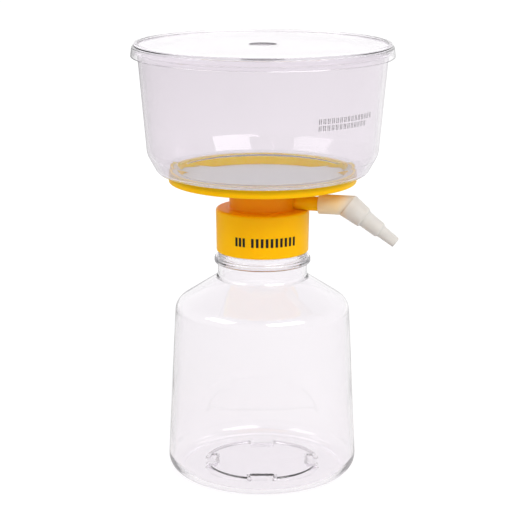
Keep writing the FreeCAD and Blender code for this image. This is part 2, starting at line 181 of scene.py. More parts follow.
def section(corners):
    """Closed array of (radius, height) points through corners (radius, height, easing, pieces).

    An arc of radius e that touches both runs at a corner starts e / tan(half the inner angle) before it.
    The straight run after a corner is cut in `pieces` equal pieces, or has a point near each end.
    """
    rows = [(*corner, 0, 1)[:4] if len(corner) == 3 else corner for corner in corners]
    places = np.array([row[:2] for row in rows], float)
    arcs = []
    for i, here in enumerate(places):
        back, ahead = places[i - 1] - here, places[(i + 1) % len(places)] - here
        room = 0.49 * min(np.hypot(*back), np.hypot(*ahead))
        back, ahead = back / np.hypot(*back), ahead / np.hypot(*ahead)
        half = math.acos(np.clip(back @ ahead, -1, 1)) / 2
        run = min(rows[i][2] / math.tan(half), room)
        if run < 1e-6:
            arcs.append(here[None])
            continue
        radius = run * math.tan(half)
        middle_way = (back + ahead) / np.hypot(*(back + ahead))
        centre = here + middle_way * radius / math.sin(half)
        steps = max(2, math.ceil((math.pi - 2 * half) / ARC_STEP))
        start, end = here + back * run - centre, here + ahead * run - centre
        share = np.linspace(0, 1, steps + 1)[:, None]
        sweep = math.pi - 2 * half
        arcs.append(centre + (np.sin((1 - share) * sweep) * start + np.sin(share * sweep) * end)
                    / math.sin(sweep))
    points = []
    for i, arc in enumerate(arcs):
        points.append(arc)
        start, end = arc[-1], arcs[(i + 1) % len(arcs)][0]
        length = np.hypot(*(end - start))
        if rows[i][3] > 1:
            shares = np.linspace(0, 1, rows[i][3] + 1)[1:-1]
        elif length > 4 * SUPPORT:
            shares = np.array([SUPPORT, length - SUPPORT]) / length
        else:
            shares = np.array([])
        points.append(start + shares[:, None] * (end - start))
    return np.vstack(points)


def inset(chain, wall):
    """An open chain of corners moved to its left by the wall, so that outside and inside run parallel."""
    places = np.array([corner[:2] for corner in chain], float)
    along = np.diff(places, axis=0)
    along /= np.hypot(*along.T)[:, None]
    left = np.stack([-along[:, 1], along[:, 0]], axis=1) * wall
    moved = [(*(places[0] + left[0]), chain[0][2])]
    for i in range(1, len(chain) - 1):
        a, b = along[i - 1], along[i]
        gap = (places[i] + left[i]) - (places[i] + left[i - 1])
        turn = a[0] * b[1] - a[1] * b[0]
        reach = (gap[0] * b[1] - gap[1] * b[0]) / turn
        easing = max(chain[i][2] - math.copysign(wall, turn), 0.4)
        moved.append((*(places[i] + left[i - 1] + a * reach), easing))
    moved.append((*(places[-1] + left[-1]), chain[-1][2]))
    return moved


eased_square = section([(1, 0, 1), (11, 0, 1), (11, 10, 1), (1, 10, 1)])
print("a 10 mm square eased by 1 mm has", len(eased_square), "points")

# %% Skins
SHARP_ANGLE = math.radians(35)
MERGE_DISTANCE = 2e-6        # in metres


def skin(name, grid, material, body, replaces=()):
    """A closed mesh from grid[i, j] in mm, joined round both ways, smooth but for edges over SHARP_ANGLE.

    Point (i, j) gets the quad (i, j), (i + 1, j), (i + 1, j + 1), (i, j + 1), which faces outwards when i runs
    anticlockwise about the axis and j climbs the outer wall.
    """
    around, along = grid.shape[:2]
    index = np.arange(around * along).reshape(around, along)
    ahead = np.roll(index, -1, axis=0)
    quads = np.stack([index, ahead, np.roll(ahead, -1, axis=1), np.roll(index, -1, axis=1)], axis=-1)
    mesh = bpy.data.meshes.new(name)
    mesh.from_pydata(grid.reshape(-1, 3) * MM, [], quads.reshape(-1, 4))
    return finish_piece(name, mesh, material, body, replaces)


def finish_piece(name, mesh, material, body, replaces=()):
    """Merge doubled points, shade the mesh, give it its material and let it ride on its body.

    A section that starts and ends on the axis leaves edges along it that carry no face, and these go.
    """
    work = bmesh.new()
    work.from_mesh(mesh)
    bmesh.ops.remove_doubles(work, verts=work.verts, dist=MERGE_DISTANCE)
    bare = [edge for edge in work.edges if edge.is_wire]
    bmesh.ops.delete(work, geom=bare, context="EDGES")
    volume = work.calc_volume(signed=True)
    open_edges = sum(not edge.is_manifold for edge in work.edges)
    if volume <= 0 or open_edges:
        raise ValueError("%s: %.2f cm3, %d open edges" % (name, volume * 1e6, open_edges))
    work.to_mesh(mesh)
    work.free()
    mesh.shade_smooth()
    mesh.set_sharp_from_angle(angle=SHARP_ANGLE)
    mesh.materials.append(material)
    piece = bpy.data.objects.new(name, mesh)
    bpy.context.scene.collection.objects.link(piece)
    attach(piece, body)
    if replaces:
        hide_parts(*replaces)
    print("%-14s %6d faces  %7.2f cm3, closed" % (name, len(mesh.polygons), volume * 1e6))
    return piece


def turned(points, segments, relief=None):
    """Grid of a section turned about Z: (r cos a, r sin a, z), with relief(r, z, a) free to move r and z."""
    angle = np.linspace(0, 2 * math.pi, segments, endpoint=False)[:, None]
    r, z = (np.broadcast_to(column, (segments, len(points))) for column in points.T)
    if relief:
        r, z = relief(r, z, angle)
    return np.stack([r * np.cos(angle), r * np.sin(angle), z], axis=-1)


def ease(x):
    """Smooth step from 0 to 1 as x goes from 0 to 1: 3 x^2 - 2 x^3."""
    x = np.clip(x, 0, 1)
    return x * x * (3 - 2 * x)


print("a quarter of the way, the smooth step has risen to %.3f" % ease(0.25))

# %% [markdown]
# ## Clear polystyrene
#
# The funnel and the lid are injection-moulded polystyrene.  It bends light a little more than window glass
# does, is very smooth, and takes a little light from every ray.  A ray that runs along a wall takes much more
# of that loss than one that goes straight through, and this is what draws the grey outline of a clear part on
# a white ground.  So the shader is a clear dielectric with an absorbing volume inside a wall of true thickness.
#
# Clear walls would cast black shadows, because a path tracer can't find a lamp through two refractions.  Shadow
# rays and the rays that gather soft light are therefore let straight through, with the loss that a wall has.
# A ray caught inside a wall, which guides light as a fibre does, leaves it after a set number of bounces.  In
# a real wall dust, scratches and flow marks let that light out, and without this a lid's edge renders black.
#
# Where a moulding is crisp and clean it keeps its light longer, and draws thin dark lines.  So the number can
# change inside a ball round a point of the axis.  It is higher round the middle of the bottle's base and in its
# neck.  The lid's is higher all over but for its flat panel, which leaves a grey line along the raised ring.

# %% Clear plastic
CLEAR_IOR = 1.57
LIGHT_KEPT = "F6F4F7"        # what lamp light and soft light keep at each surface
WALL_LOSS = "DCD6DC"         # the faintly violet grey that a long way through the wall gives
BALL_EDGE = 0.2              # the number of bounces changes over this much each side of a ball
BASE_BALL = (0, 33.5, 3.0)
NECK_BALL = (98, 23.1, 3.0)
PANEL_BALL = (212.9, 59.5, -1.0)         # the lid's panel inside its ring


def clear_plastic(name, tint, density, bounces, balls, roughness, waves_mm):
    """Clear moulded plastic: smooth dielectric, absorbing volume and the long soft waves of its flow.

    Light leaves after `bounces`, and after `more` bounces more inside each ball (height of its middle on the
    axis in mm, radius in mm, more).  waves_mm is the spacing and depth of the waves.
    """
    material = bpy.data.materials.new(name)
    material.use_nodes = True
    tree = material.node_tree
    tree.nodes.clear()
    place = add(tree, "TexCoord").outputs["Object"]
    waves = add(tree, "TexNoise", {"Vector": place, "Scale": 1 / (waves_mm[0] * MM),
                                   "Detail": 1.0, "Roughness": 0.4})
    bump = add(tree, "Bump", {"Strength": 1.0, "Distance": waves_mm[1] * MM,
                              "Height": waves.outputs["Fac"]})
    clear = add(tree, "BsdfPrincipled", {"Base Color": linear(tint), "Roughness": roughness, "IOR": CLEAR_IOR,
                                         "Transmission Weight": 1.0, "Normal": bump.outputs["Normal"]})
    passing = add(tree, "BsdfTransparent", {"Color": linear(LIGHT_KEPT)})
    path = add(tree, "LightPath")
    soft = add(tree, "Math", {0: path.outputs["Is Shadow Ray"], 1: path.outputs["Is Diffuse Ray"]},
               operation="MAXIMUM")
    allowed = bounces
    for height, radius, more in balls:
        away = add(tree, "VectorMath", {0: place, 1: (0, 0, height * MM)}, operation="DISTANCE")
        within = add(tree, "MapRange", {"Value": away.outputs["Value"],
                                        "From Min": (radius - BALL_EDGE) * MM,
                                        "From Max": (radius + BALL_EDGE) * MM, "To Min": more, "To Max": 0.0})
        allowed = add(tree, "Math", {0: within.outputs[0], 1: allowed}, operation="ADD").outputs[0]
    trapped = add(tree, "Math", {0: path.outputs["Ray Depth"], 1: allowed}, operation="GREATER_THAN")
    let_by = add(tree, "Math", {0: soft.outputs[0], 1: trapped.outputs[0]}, operation="MAXIMUM")
    either = add(tree, "MixShader", {0: let_by.outputs[0], 1: clear.outputs[0], 2: passing.outputs[0]})
    loss = add(tree, "VolumeAbsorption", {"Color": linear(WALL_LOSS), "Density": density})
    add(tree, "OutputMaterial", {"Surface": either.outputs[0], "Volume": loss.outputs[0]})
    return material


def painted_gate_shade(material, ring_r, half_width, shade):
    """Shade the tint where the radius sqrt(x^2 + y^2) is within half_width mm of ring_r mm.

    The grey is painted shade for the dark line that the dimple's step draws round the spot where the mould was fed.
    """
    tree = material.node_tree
    clear = next(node for node in tree.nodes if node.type == "BSDF_PRINCIPLED")
    place = add(tree, "TexCoord").outputs["Object"]
    flat = add(tree, "VectorMath", {0: place, 1: (1, 1, 0)}, operation="MULTIPLY")
    radius = add(tree, "VectorMath", {0: flat.outputs[0]}, operation="LENGTH")
    on_ring = add(tree, "Math", {0: radius.outputs["Value"], 1: ring_r * MM, 2: half_width * MM},
                  operation="COMPARE")
    plain = tuple(clear.inputs["Base Color"].default_value)
    tint = add(tree, "Mix", {"Factor": on_ring.outputs[0], 6: plain, 7: linear(shade)}, data_type="RGBA")
    tree.links.new(tint.outputs[2], clear.inputs["Base Color"])


# Glassy walls with hardly a wave in them, so what is behind shows sharp and only the edges draw.
clear_funnel = clear_plastic("moulded_clear_polystyrene", "EFEBEF", 8.0, 4.5, (), 0.02, (45.0, 0.02))
clear_lid = clear_plastic("moulded_clear_polystyrene_lid", "FCFAFC", 7.0, 6.5,
                          (PANEL_BALL,), 0.02, (40.0, 0.02))
# A blown wall is a little softer and wavier, so what is seen through it wanders slightly.
clear_bottle = clear_plastic("blown_clear_polystyrene", "FAF8FA", 9.0, 5.5,
                             (BASE_BALL, NECK_BALL), 0.03, (22.0, 0.18))
print("clear plastics:", clear_funnel.name, clear_lid.name, clear_bottle.name)

# %% [markdown]
# ## Amber moulded plastic
#
# The base is one opaque moulding in a strong amber.  The plastic glows a little where light enters it, which
# lifts the shaded underside towards orange, and its skin has the faint unevenness of a moulded gloss surface.
#
# The tone follows the part.  It is yellow at the thin rim and amber on the collar.  At the hub, which stands in the
# plate's shade, a deep tone is painted shade: the plate's shadow and the orange light that bounces under it.
# The port gets brighter tones of its own, which are painted light that lifts it out of that shade.

# %% Amber plastic
RIM_INSIDE = "FFDA00"        # seen through the funnel
RIM_OUTSIDE = "F2BC00"
RIM_SHADE = "C99F00"         # the upper half of the rim, under the funnel's overhanging corner
HUB_SHADE_R = (18.5, 16.5)    # the painted shade under the plate deepens inwards between these radii
RIM_TONE_R = (42.0, 44.0)    # and turns yellow outwards between these
RIM_SHADE_Z = (rim_top_z - 3.2, rim_top_z - 1.6)
RIM_WALL_R = (plate_r - 0.6, plate_r - 0.3)
CLOUD_SIZE = 14.0            # flow marks in the moulding
GLOSS_GRAIN = (0.6, 0.01, 0.35)      # the moulded skin's unevenness, drawn coarser than it is


def amber_plastic(name, shades, hub_shade):
    """Semi-gloss styrenic plastic that lets a little light in, which gives the eye a warm, slightly waxy gloss.

    The radius sqrt(x^2 + y^2) picks the tone: a deep painted shade at the hub, the two cloudy shades on the
    collar, and the rim's tones at the rim.
    """
    material, tree, shader = new_finish(name, {
        "Roughness": 0.33, "IOR": 1.54, "Specular IOR Level": 0.08, "Subsurface Weight": 0.5,
        "Subsurface Radius": (1.0, 0.5, 0.05), "Subsurface Scale": 2.5 * MM})
    place = add(tree, "TexCoord").outputs["Object"]
    cloud = add(tree, "TexNoise", {"Vector": place, "Scale": 1 / (CLOUD_SIZE * MM), "Detail": 2.0})
    flat = add(tree, "VectorMath", {0: place, 1: (1, 1, 0)}, operation="MULTIPLY")
    radius = add(tree, "VectorMath", {0: flat.outputs[0]}, operation="LENGTH").outputs["Value"]
    height = add(tree, "SeparateXYZ", {0: place}).outputs["Z"]
    hub_shade_mask, at_rim, high, outside = [
        add(tree, "MapRange", {"Value": value, "From Min": start * MM, "From Max": end * MM}).outputs[0]
        for value, (start, end) in ((radius, HUB_SHADE_R), (radius, RIM_TONE_R),
                                    (height, RIM_SHADE_Z), (radius, RIM_WALL_R))]
    shaded = add(tree, "Math", {0: high, 1: outside}, operation="MULTIPLY").outputs[0]
    two_sides = add(tree, "Mix", {"Factor": outside, 6: linear(RIM_INSIDE), 7: linear(RIM_OUTSIDE)},
                    data_type="RGBA").outputs[2]
    colour = linear(shades[0])
    # The hub's deep tone is painted shade from the plate above, and RIM_SHADE is painted shade too.
    for factor, shade in ((cloud.outputs["Fac"], linear(shades[1])), (hub_shade_mask, linear(hub_shade)),
                          (at_rim, two_sides), (shaded, linear(RIM_SHADE))):
        colour = add(tree, "Mix", {"Factor": factor, 6: colour, 7: shade}, data_type="RGBA").outputs[2]
    tree.links.new(colour, shader.inputs["Base Color"])
    grain_bump(tree, shader, place, *GLOSS_GRAIN)
    return material


# The last colour of each call is the hub's painted shade.
amber = amber_plastic("moulded_amber_styrene", ("FAB500", "FFBD00"), "F29C00")
# The port's brighter tones are painted light that lifts it out of the plate's shade.
amber_port_painted_lighter = amber_plastic("moulded_amber_styrene_port_painted_lighter", ("FFB800", "FFBE00"), "FFA800")
print("amber plastic:", amber.name, amber_port_painted_lighter.name)

# %% [markdown]
# ## The bottle
#
# A blown bottle has nearly one wall all over.  Its section climbs from the axis under the base, round the heel, up
# the tapered body, over the shoulder, past the bead and the threaded finish to the lip, and comes back down
# inside at wall thickness.  Two reliefs are added on the grid.  The base is pushed up in a disc with four
# notches, and the finish carries one and a quarter turns of coarse right-hand thread.

# %% Bottle sizes
BASE_R = 47.25
HEEL_ROUND = 8.8
BODY_TOP_R = 42.85
SHOULDER_ANGLE = math.radians(33)
SHOULDER_ROUND = 7.0
BOTTLE_WALL = 1.5
PUSH_UP_R = 27.8
PUSH_UP_RISE = 2.3
PUSH_UP_SLOPE = 1.8          # the softened side of the pushed-up disc runs over this radius
NOTCHES = 4
NOTCH_WIDTH = 13.0
NOTCH_DEPTH = 5.6
NOTCH_TURN = math.radians(13)
EDGE_SOFT = 0.9              # a blown edge is never sharper than this
BORE_R = 18.3
FINISH_WALL = 1.9
FINISH_R = BORE_R + FINISH_WALL
FINISH_HEIGHT = 20.6
NECK_STAND = 1.8             # how far the neck stands out from the finish
NECK_R = FINISH_R + NECK_STAND
NECK_WALL = 2.1
NECK_HEIGHT = 6.9
NECK_ROUND = 2.5
BEAD_STAND = 1.6             # how far the bead stands out from the neck
BEAD_R = NECK_R + BEAD_STAND
BEAD_HEIGHT = 2.8
BEAD_ROUND = 1.26
LAND_HEIGHT = 2.4
LAND_STAND = 0.4             # how far the land stands out from the collar's bore
THREAD_LEAD = 4.23
THREAD_DEPTH = 1.0
THREAD_CREST = 0.7
THREAD_FLANK = 0.8
THREAD_GAP = 0.2
THREAD_RUNOUT = 0.1          # of a turn, at both ends of a ridge
BOTTLE_THREAD = (7.0, 1.25)  # its foot's height over the bead, and its turns
COLLAR_THREAD = (2.0, 1.0)   # its foot's height over the collar's lower edge, and its turns
COLLAR_IN_R = FINISH_R + THREAD_DEPTH + THREAD_GAP
ROUND_BOTTLE = 320           # steps round the axis, as are the other ROUND_ numbers

bead_top_z = lip_z - FINISH_HEIGHT
bead_z = bead_top_z - BEAD_HEIGHT
neck_z = bead_z - NECK_HEIGHT
body_height = neck_z - (BODY_TOP_R - NECK_R) * math.tan(SHOULDER_ANGLE)
print("body height %.2f, neck from %.2f to %.2f" % (body_height, neck_z, bead_z))


# %% Thread and base reliefs
def helix_ridge(angle, z, foot_z, turns):
    """Height from 0 to 1 of a right-hand ridge.

    It is 1 within half the crest of foot_z + lead * turns travelled, falls to 0 over the flank, and runs out
    over THREAD_RUNOUT of a turn at both ends.
    """
    height = 0 * (angle + z)
    for turn in range(math.ceil(turns)):
        travelled = turn + angle / (2 * math.pi)
        away = np.abs(z - foot_z - THREAD_LEAD * travelled)
        ends = np.minimum(travelled, turns - travelled) / THREAD_RUNOUT
        across = (THREAD_CREST / 2 + THREAD_FLANK - away) / THREAD_FLANK
        height = np.maximum(height, ease(across) * ease(ends))
    return height


def base_mask(r, angle, grow):
    """1 inside the pushed-up disc and 0 outside it and in its notches, with soft edges."""
    disc = ease((PUSH_UP_R + grow - r) / PUSH_UP_SLOPE + 0.5)
    notch = 0 * (r + angle)
    for i in range(NOTCHES):
        turn = angle - NOTCH_TURN - i * 2 * math.pi / NOTCHES
        beyond = r * np.cos(turn) - (PUSH_UP_R - NOTCH_DEPTH + grow)
        beside = NOTCH_WIDTH / 2 - grow - np.abs(r * np.sin(turn))
        notch = np.maximum(notch, ease(beyond / EDGE_SOFT + 0.5) * ease(beside / EDGE_SOFT + 0.5))
    return disc * (1 - notch)


def bottle_relief(r, z, angle):
    """Thread on the finish, and the raised disc on both faces of the base."""
    on_finish = (np.abs(r - FINISH_R) < 0.01) & (z > bead_top_z + LAND_HEIGHT)
    ridge = helix_ridge(angle, z, bead_top_z + BOTTLE_THREAD[0], BOTTLE_THREAD[1])
    r_new = r + np.where(on_finish, THREAD_DEPTH * ridge, 0)
    outer = (z < 0.01) & (r < BASE_R - HEEL_ROUND)
    inner = (np.abs(z - BOTTLE_WALL) < 0.01) & (r < BASE_R - HEEL_ROUND)
    raised = np.where(outer, base_mask(r, angle, 0), 0) + np.where(inner, base_mask(r, angle, 1.0), 0)
    return r_new, z + PUSH_UP_RISE * raised


print("thread %.1f mm high, lead %.2f mm; disc pushed up %.1f mm" % (THREAD_DEPTH, THREAD_LEAD, PUSH_UP_RISE))

# %% Build the bottle
outside = [
    (BASE_R, 0, HEEL_ROUND),
    (BODY_TOP_R, body_height, SHOULDER_ROUND),
    (NECK_R, neck_z, NECK_ROUND),
]
neck_in_r = NECK_R - NECK_WALL
land_r = COLLAR_IN_R + LAND_STAND
land_top_z = bead_top_z + LAND_HEIGHT
inside = inset([(0, 0, 0)] + outside, BOTTLE_WALL)
shoulder_r, shoulder_z, _ = inside[-1]
inside[-1] = (neck_in_r, shoulder_z + (shoulder_r - neck_in_r) * math.tan(SHOULDER_ANGLE), 3.0)
fine_from, fine_to = PUSH_UP_R - NOTCH_DEPTH - 2, PUSH_UP_R + 3
bottle_section = section([
    (0, 0, 0, 4), (fine_from, 0, 0, 34), (fine_to, 0, 0, 3),
    *outside,
    (NECK_R, bead_z, 0.4), (BEAD_R, bead_z, BEAD_ROUND), (BEAD_R, bead_top_z, BEAD_ROUND),
    (land_r, bead_top_z, 0.4), (land_r, land_top_z, 0.4),
    (FINISH_R, land_top_z, 0.4, 60), (FINISH_R, lip_z, 0.4), (BORE_R, lip_z, 0.4),
    (BORE_R, bead_top_z, 2.0), (neck_in_r, bead_z, 2.0),
    *inside[:0:-1],
    (fine_to, BOTTLE_WALL, 0, 34), (fine_from, BOTTLE_WALL, 0, 4), (0, BOTTLE_WALL, 0),
])
bottle_grid = turned(bottle_section, ROUND_BOTTLE, bottle_relief)
bottle = skin("clear_bottle", bottle_grid, clear_bottle, "bottle", ["bottle"])

# %% [markdown]
# ## The filter base
#
# One moulding does four jobs.  The plate carries the membrane on ribs over a shallow drain floor, the funnel is
# welded to the rim, the collar screws on the bottle and the hub between them carries the vacuum port.  The
# turned part is one section, and the channels through the ribs and the thread inside the collar are reliefs.
# The port is a tube of its own that starts half-way through the hub's wall.  The plastic is opaque, so the two
# need no Boolean to look like one.  The hub's wall crosses the tube's bore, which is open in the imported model,
# but the plug and the elbow hide that.

# %% Filter base sizes
COLLAR_WALL = 1.5
COLLAR_CEILING = 2.0
COLLAR_DRAFT = 0.35
COLLAR_SHOULDER = 1.3
HUB_INSET = 2.0              # how much less the hub's radius is than the bottle's bore's
HUB_R = BORE_R - HUB_INSET
HUB_WALL = 1.8
RIM_HEIGHT = 4.7
RIM_WALL = 1.7
RIM_EDGE = 1.0               # the narrow flat under the rim
SEAT_WIDTH = 4.0
DRAIN_DEPTH = 0.4
DRAIN_SLOPE = 0.02
FLOOR_WALL = 1.0
SPOUT_R = 4.6
SPOUT_BORE_R = 3.0
SPOUT_LENGTH = 22.0
RIB_FIRST_R = 8.0
RIB_PITCH = 6.0
RIB_WALL = 1.0
CHANNELS = 8
CHANNEL_WIDTH = 2.6
PORT_R = 3.5
PORT_BORE_R = 2.2
PORT_REACH = 39.5
ROUND_BASE = 288

collar_r = COLLAR_IN_R + COLLAR_WALL
collar_top_z = ceiling_z + COLLAR_CEILING
rim_z = rim_top_z - RIM_HEIGHT
rim_in_r = plate_r - RIM_WALL
seat_in_r = rim_in_r - SEAT_WIDTH
hub_in_r = HUB_R - HUB_WALL


def floor_z(radius):
    """Height of the drain floor, which falls DRAIN_SLOPE for each mm towards the spout."""
    return seat_z - DRAIN_DEPTH - DRAIN_SLOPE * (seat_in_r - radius)


def under_z(radius):
    """Height of the plate's underside."""
    return floor_z(radius) - FLOOR_WALL


print("collar %.1f mm across, plate %.1f mm across" % (2 * collar_r, 2 * plate_r))

# %% Build the filter base
ribs = []
for rib_r in np.arange(RIB_FIRST_R, seat_in_r - RIB_PITCH + 1e-6, RIB_PITCH)[::-1]:
    outer_r = rib_r + RIB_WALL
    ribs += [(outer_r, floor_z(outer_r), 0), (outer_r, seat_z, 0),
             (rib_r, seat_z, 0), (rib_r, floor_z(rib_r), 0)]
spout_z = under_z(SPOUT_R) - SPOUT_LENGTH
base_section = section([
    (SPOUT_BORE_R, floor_z(SPOUT_BORE_R), 0.2), (SPOUT_BORE_R, spout_z, 0.3), (SPOUT_R, spout_z, 0.4),
    (SPOUT_R, under_z(SPOUT_R), 0.8), (hub_in_r, under_z(hub_in_r), 0.8), (hub_in_r, ceiling_z, 0.4),
    (COLLAR_IN_R, ceiling_z, 0.3, 60), (COLLAR_IN_R, collar_foot_z, 0.4),
    (collar_r - COLLAR_DRAFT, collar_foot_z, 0.5), (collar_r, collar_top_z, COLLAR_SHOULDER),
    (HUB_R, collar_top_z, 0.8), (HUB_R, under_z(HUB_R), 0.8),
    (seat_in_r + FLOOR_WALL, under_z(seat_in_r), 0.3), (plate_r - RIM_EDGE, rim_z, 0.2),
    (plate_r, rim_z, 0.8), (plate_r, rim_top_z, 0.4), (rim_in_r, rim_top_z, 0.4),
    (rim_in_r, seat_z, 0.2), (seat_in_r, seat_z, 0.2), (seat_in_r, floor_z(seat_in_r), 0.2),
    *ribs,
])


def base_relief(r, z, angle):
    """Channels cut through the ribs down to the drain floor, and the thread ridge inside the collar."""
    turn = (angle + math.pi / CHANNELS) % (2 * math.pi / CHANNELS) - math.pi / CHANNELS
    in_channel = np.abs(r * np.sin(turn)) < CHANNEL_WIDTH / 2
    on_rib = (r < seat_in_r - 1) & (z > floor_z(r) - 0.01)
    z_new = np.where(on_rib & in_channel, floor_z(r), z)
    in_collar = (np.abs(r - COLLAR_IN_R) < 0.2) & (z < ceiling_z - 0.5)
    ridge = helix_ridge(angle, z, collar_foot_z + COLLAR_THREAD[0], COLLAR_THREAD[1])
    return r - np.where(in_collar, THREAD_DEPTH * ridge, 0), z_new


base_grid = turned(base_section, ROUND_BASE, base_relief)


def tube_along_x(out_r, in_r, start, end, level, easing, segments=64):
    """Grid of a tube along X: (x, r sin a, level + r cos a) for an eased wall section."""
    wall = section([(in_r, -start, easing), (in_r, -end, easing),
                    (out_r, -end, easing), (out_r, -start, easing)])
    turned_up = turned(wall, segments)
    return np.stack([-turned_up[..., 2], turned_up[..., 1], level + turned_up[..., 0]], axis=-1)


port_grid = tube_along_x(PORT_R, PORT_BORE_R, HUB_R - HUB_WALL / 2, PORT_REACH, port_z, 0.3)
base_piece = skin("amber_base", base_grid, amber, "filter_head", ["filter_base"])
port_piece = skin("amber_port_painted_lighter", port_grid, amber_port_painted_lighter, "filter_head")

# %% [markdown]
# ## Funnel and lid
#
# The funnel's flange lies on the amber rim, and its foot reaches down inside the rim and clamps the membrane.
# The two are welded, and a weld has no air in it, so here the clear plastic reaches WELD_BITE into the amber
# and into the film.  With even a thin air gap the ledge would mirror the room, and the amber wouldn't show.
#
# From the flange the wall turns out, then up, and ends in a small bead that the lid's skirt slips over.  The
# lid is a flat panel with a raised ring, a stepped skirt and the dimple where the plastic entered the mould.

# %% Funnel
WELD_BITE = 0.05
FLANGE_GAP = 0.1             # the flange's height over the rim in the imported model
FOOT_WALL = 2.7
FUNNEL_WALL = 1.7
TURN_OUT = 5.3               # from the rim out to the lower corner of the bowl
TURN_ROUND = 2.7
LOW_OUT = 5.1                # from there out to the upper corner
LOW_RISE = 9.2
LOW_ROUND = 9.0
MOUTH_OUT = 4.1              # from there out to the mouth
MOUTH_BEAD = 1.1
MOUTH_BEAD_HEIGHT = 2.6
ROUND_CLEAR = 320            # steps round the axis

flange_z = rim_top_z + FLANGE_GAP
turn_r = plate_r + TURN_OUT
low_r = turn_r + LOW_OUT
mouth_r = low_r + MOUTH_OUT
bead_r = mouth_r + MOUTH_BEAD
foot_out_r = rim_in_r + WELD_BITE
foot_in_r = rim_in_r - FLANGE_GAP - FOOT_WALL
foot_z = membrane_top_z - WELD_BITE
wall_chain = [
    (foot_out_r, rim_top_z - WELD_BITE, 0),
    (turn_r, flange_z, TURN_ROUND),
    (low_r, flange_z + LOW_RISE, LOW_ROUND),
    (mouth_r, mouth_z, 0.4),
]
lining = inset(wall_chain, FUNNEL_WALL)
funnel_section = section([
    *wall_chain[:-1],
    (mouth_r, mouth_z - MOUTH_BEAD_HEIGHT, 0.4), (bead_r, mouth_z - MOUTH_BEAD_HEIGHT, 0.4),
    (bead_r, mouth_z, 0.4), (lining[-1][0], mouth_z, 0.4), lining[2], lining[1],
    (foot_in_r, flange_z + FUNNEL_WALL, 1.0), (foot_in_r, foot_z, 0.1), (foot_out_r, foot_z, 0.1),
])
funnel = skin("clear_funnel", turned(funnel_section, ROUND_CLEAR), clear_funnel, "filter_head", ["funnel"])

# %% Lid
LID_WALL = 1.2
LID_GAP = 0.3
LID_RING_WIDTH = 2.0
LID_STEP = 0.9
LID_STEP_DROP = 1.7
LID_SKIRT_FLARE = 0.6
GATE_R = 6.6                 # the spot where the plastic entered the mould
GATE_DEPTH = 0.9
GATE_SHADE = (0.3, "6E6A6E")  # half the painted shade's width, and its grey

panel_z = mouth_z + LID_WALL
lid_skirt_in_r = bead_r + LID_GAP
lid_skirt_r = lid_skirt_in_r + LID_WALL
ring_r = lid_skirt_r - LID_STEP
step_z = lid_high[2] - LID_STEP_DROP
lid_section = section([
    (0, mouth_z - GATE_DEPTH, 0), (GATE_R + LID_WALL, mouth_z - GATE_DEPTH, 0.3),
    (GATE_R + LID_WALL, mouth_z, 0.5),
    (lid_skirt_in_r, mouth_z, 0.5), (lid_skirt_in_r + LID_SKIRT_FLARE, lid_low[2], 0.4),
    (lid_skirt_r + LID_SKIRT_FLARE, lid_low[2], 0.4), (lid_skirt_r, step_z, 0.5), (ring_r, step_z, 0.3),
    (ring_r, lid_high[2], 0.7), (ring_r - LID_RING_WIDTH, lid_high[2], 0.5),
    (ring_r - LID_RING_WIDTH, panel_z, 0.5),
    (GATE_R, panel_z, 0.3), (GATE_R, panel_z - GATE_DEPTH, 0.3), (0, panel_z - GATE_DEPTH, 0),
])
# a grey ring painted round the gate's dimple, standing in for the dark line that its wall draws
painted_gate_shade(clear_lid, GATE_R, *GATE_SHADE)
lid = skin("clear_lid", turned(lid_section, ROUND_CLEAR), clear_lid, "filter_head", ["lid"])

# %% [markdown]
# ## Membrane
#
# The membrane is a film cast from a polymer, 0.2 mm thick, that lies flat on the plate's ribs.  A flat disc
# needs no cloth tools, so it is the plainest section of all.  Its pores are far finer than the eye sees.  What the eye
# gets from them is a dead matt white, with a mottle where the film is a little denser.

# %% Membrane
MOTTLE_SIZE = 9.0
ROUND_FILM = 192
PORE_GRAIN = (0.3, 0.02, 0.4)        # far coarser than the real pores, so that they show at all


def membrane_film():
    """Cast polymer filter film: matt, finely porous and slightly mottled, which gives a soft paper white."""
    material, tree, shader = new_finish("cast_porous_membrane", {"Roughness": 0.75})
    place = add(tree, "TexCoord").outputs["Object"]
    mottle = add(tree, "TexNoise", {"Vector": place, "Scale": 1 / (MOTTLE_SIZE * MM), "Detail": 3.0})
    colour = add(tree, "Mix", {"Factor": mottle.outputs["Fac"], 6: linear("D6D8D2"), 7: linear("E1E3DC")},
                 data_type="RGBA")
    tree.links.new(colour.outputs[2], shader.inputs["Base Color"])
    grain_bump(tree, shader, place, *PORE_GRAIN)
    return material


membrane_section = section([
    (0, seat_z, 0), (membrane_r, seat_z, 0.05), (membrane_r, membrane_top_z, 0.05), (0, membrane_top_z, 0),
])
membrane_grid = turned(membrane_section, ROUND_FILM)
membrane = skin("filter_membrane", membrane_grid, membrane_film(), "filter_head", ["membrane"])

# %% [markdown]
# ## Hose elbow
#
# A soft moulded elbow: a sleeve pushed on the port, a slanted end, and a nozzle with three tapered steps for
# tubing of three sizes.  It is one grid of rings.  Each ring is an ellipse with its own centre and its own
# upward axis, so the rings can lean over at the bend without any cut.
#
# The elastomer is milky: light goes in, scatters for a millimetre or two and comes out softened, which the
# shader's subsurface part does.  The amber port and plate shine into the sleeve and warm it, and that light is
# painted into its colour as a pale amber glow over the port, stronger on the upper side under the plate.

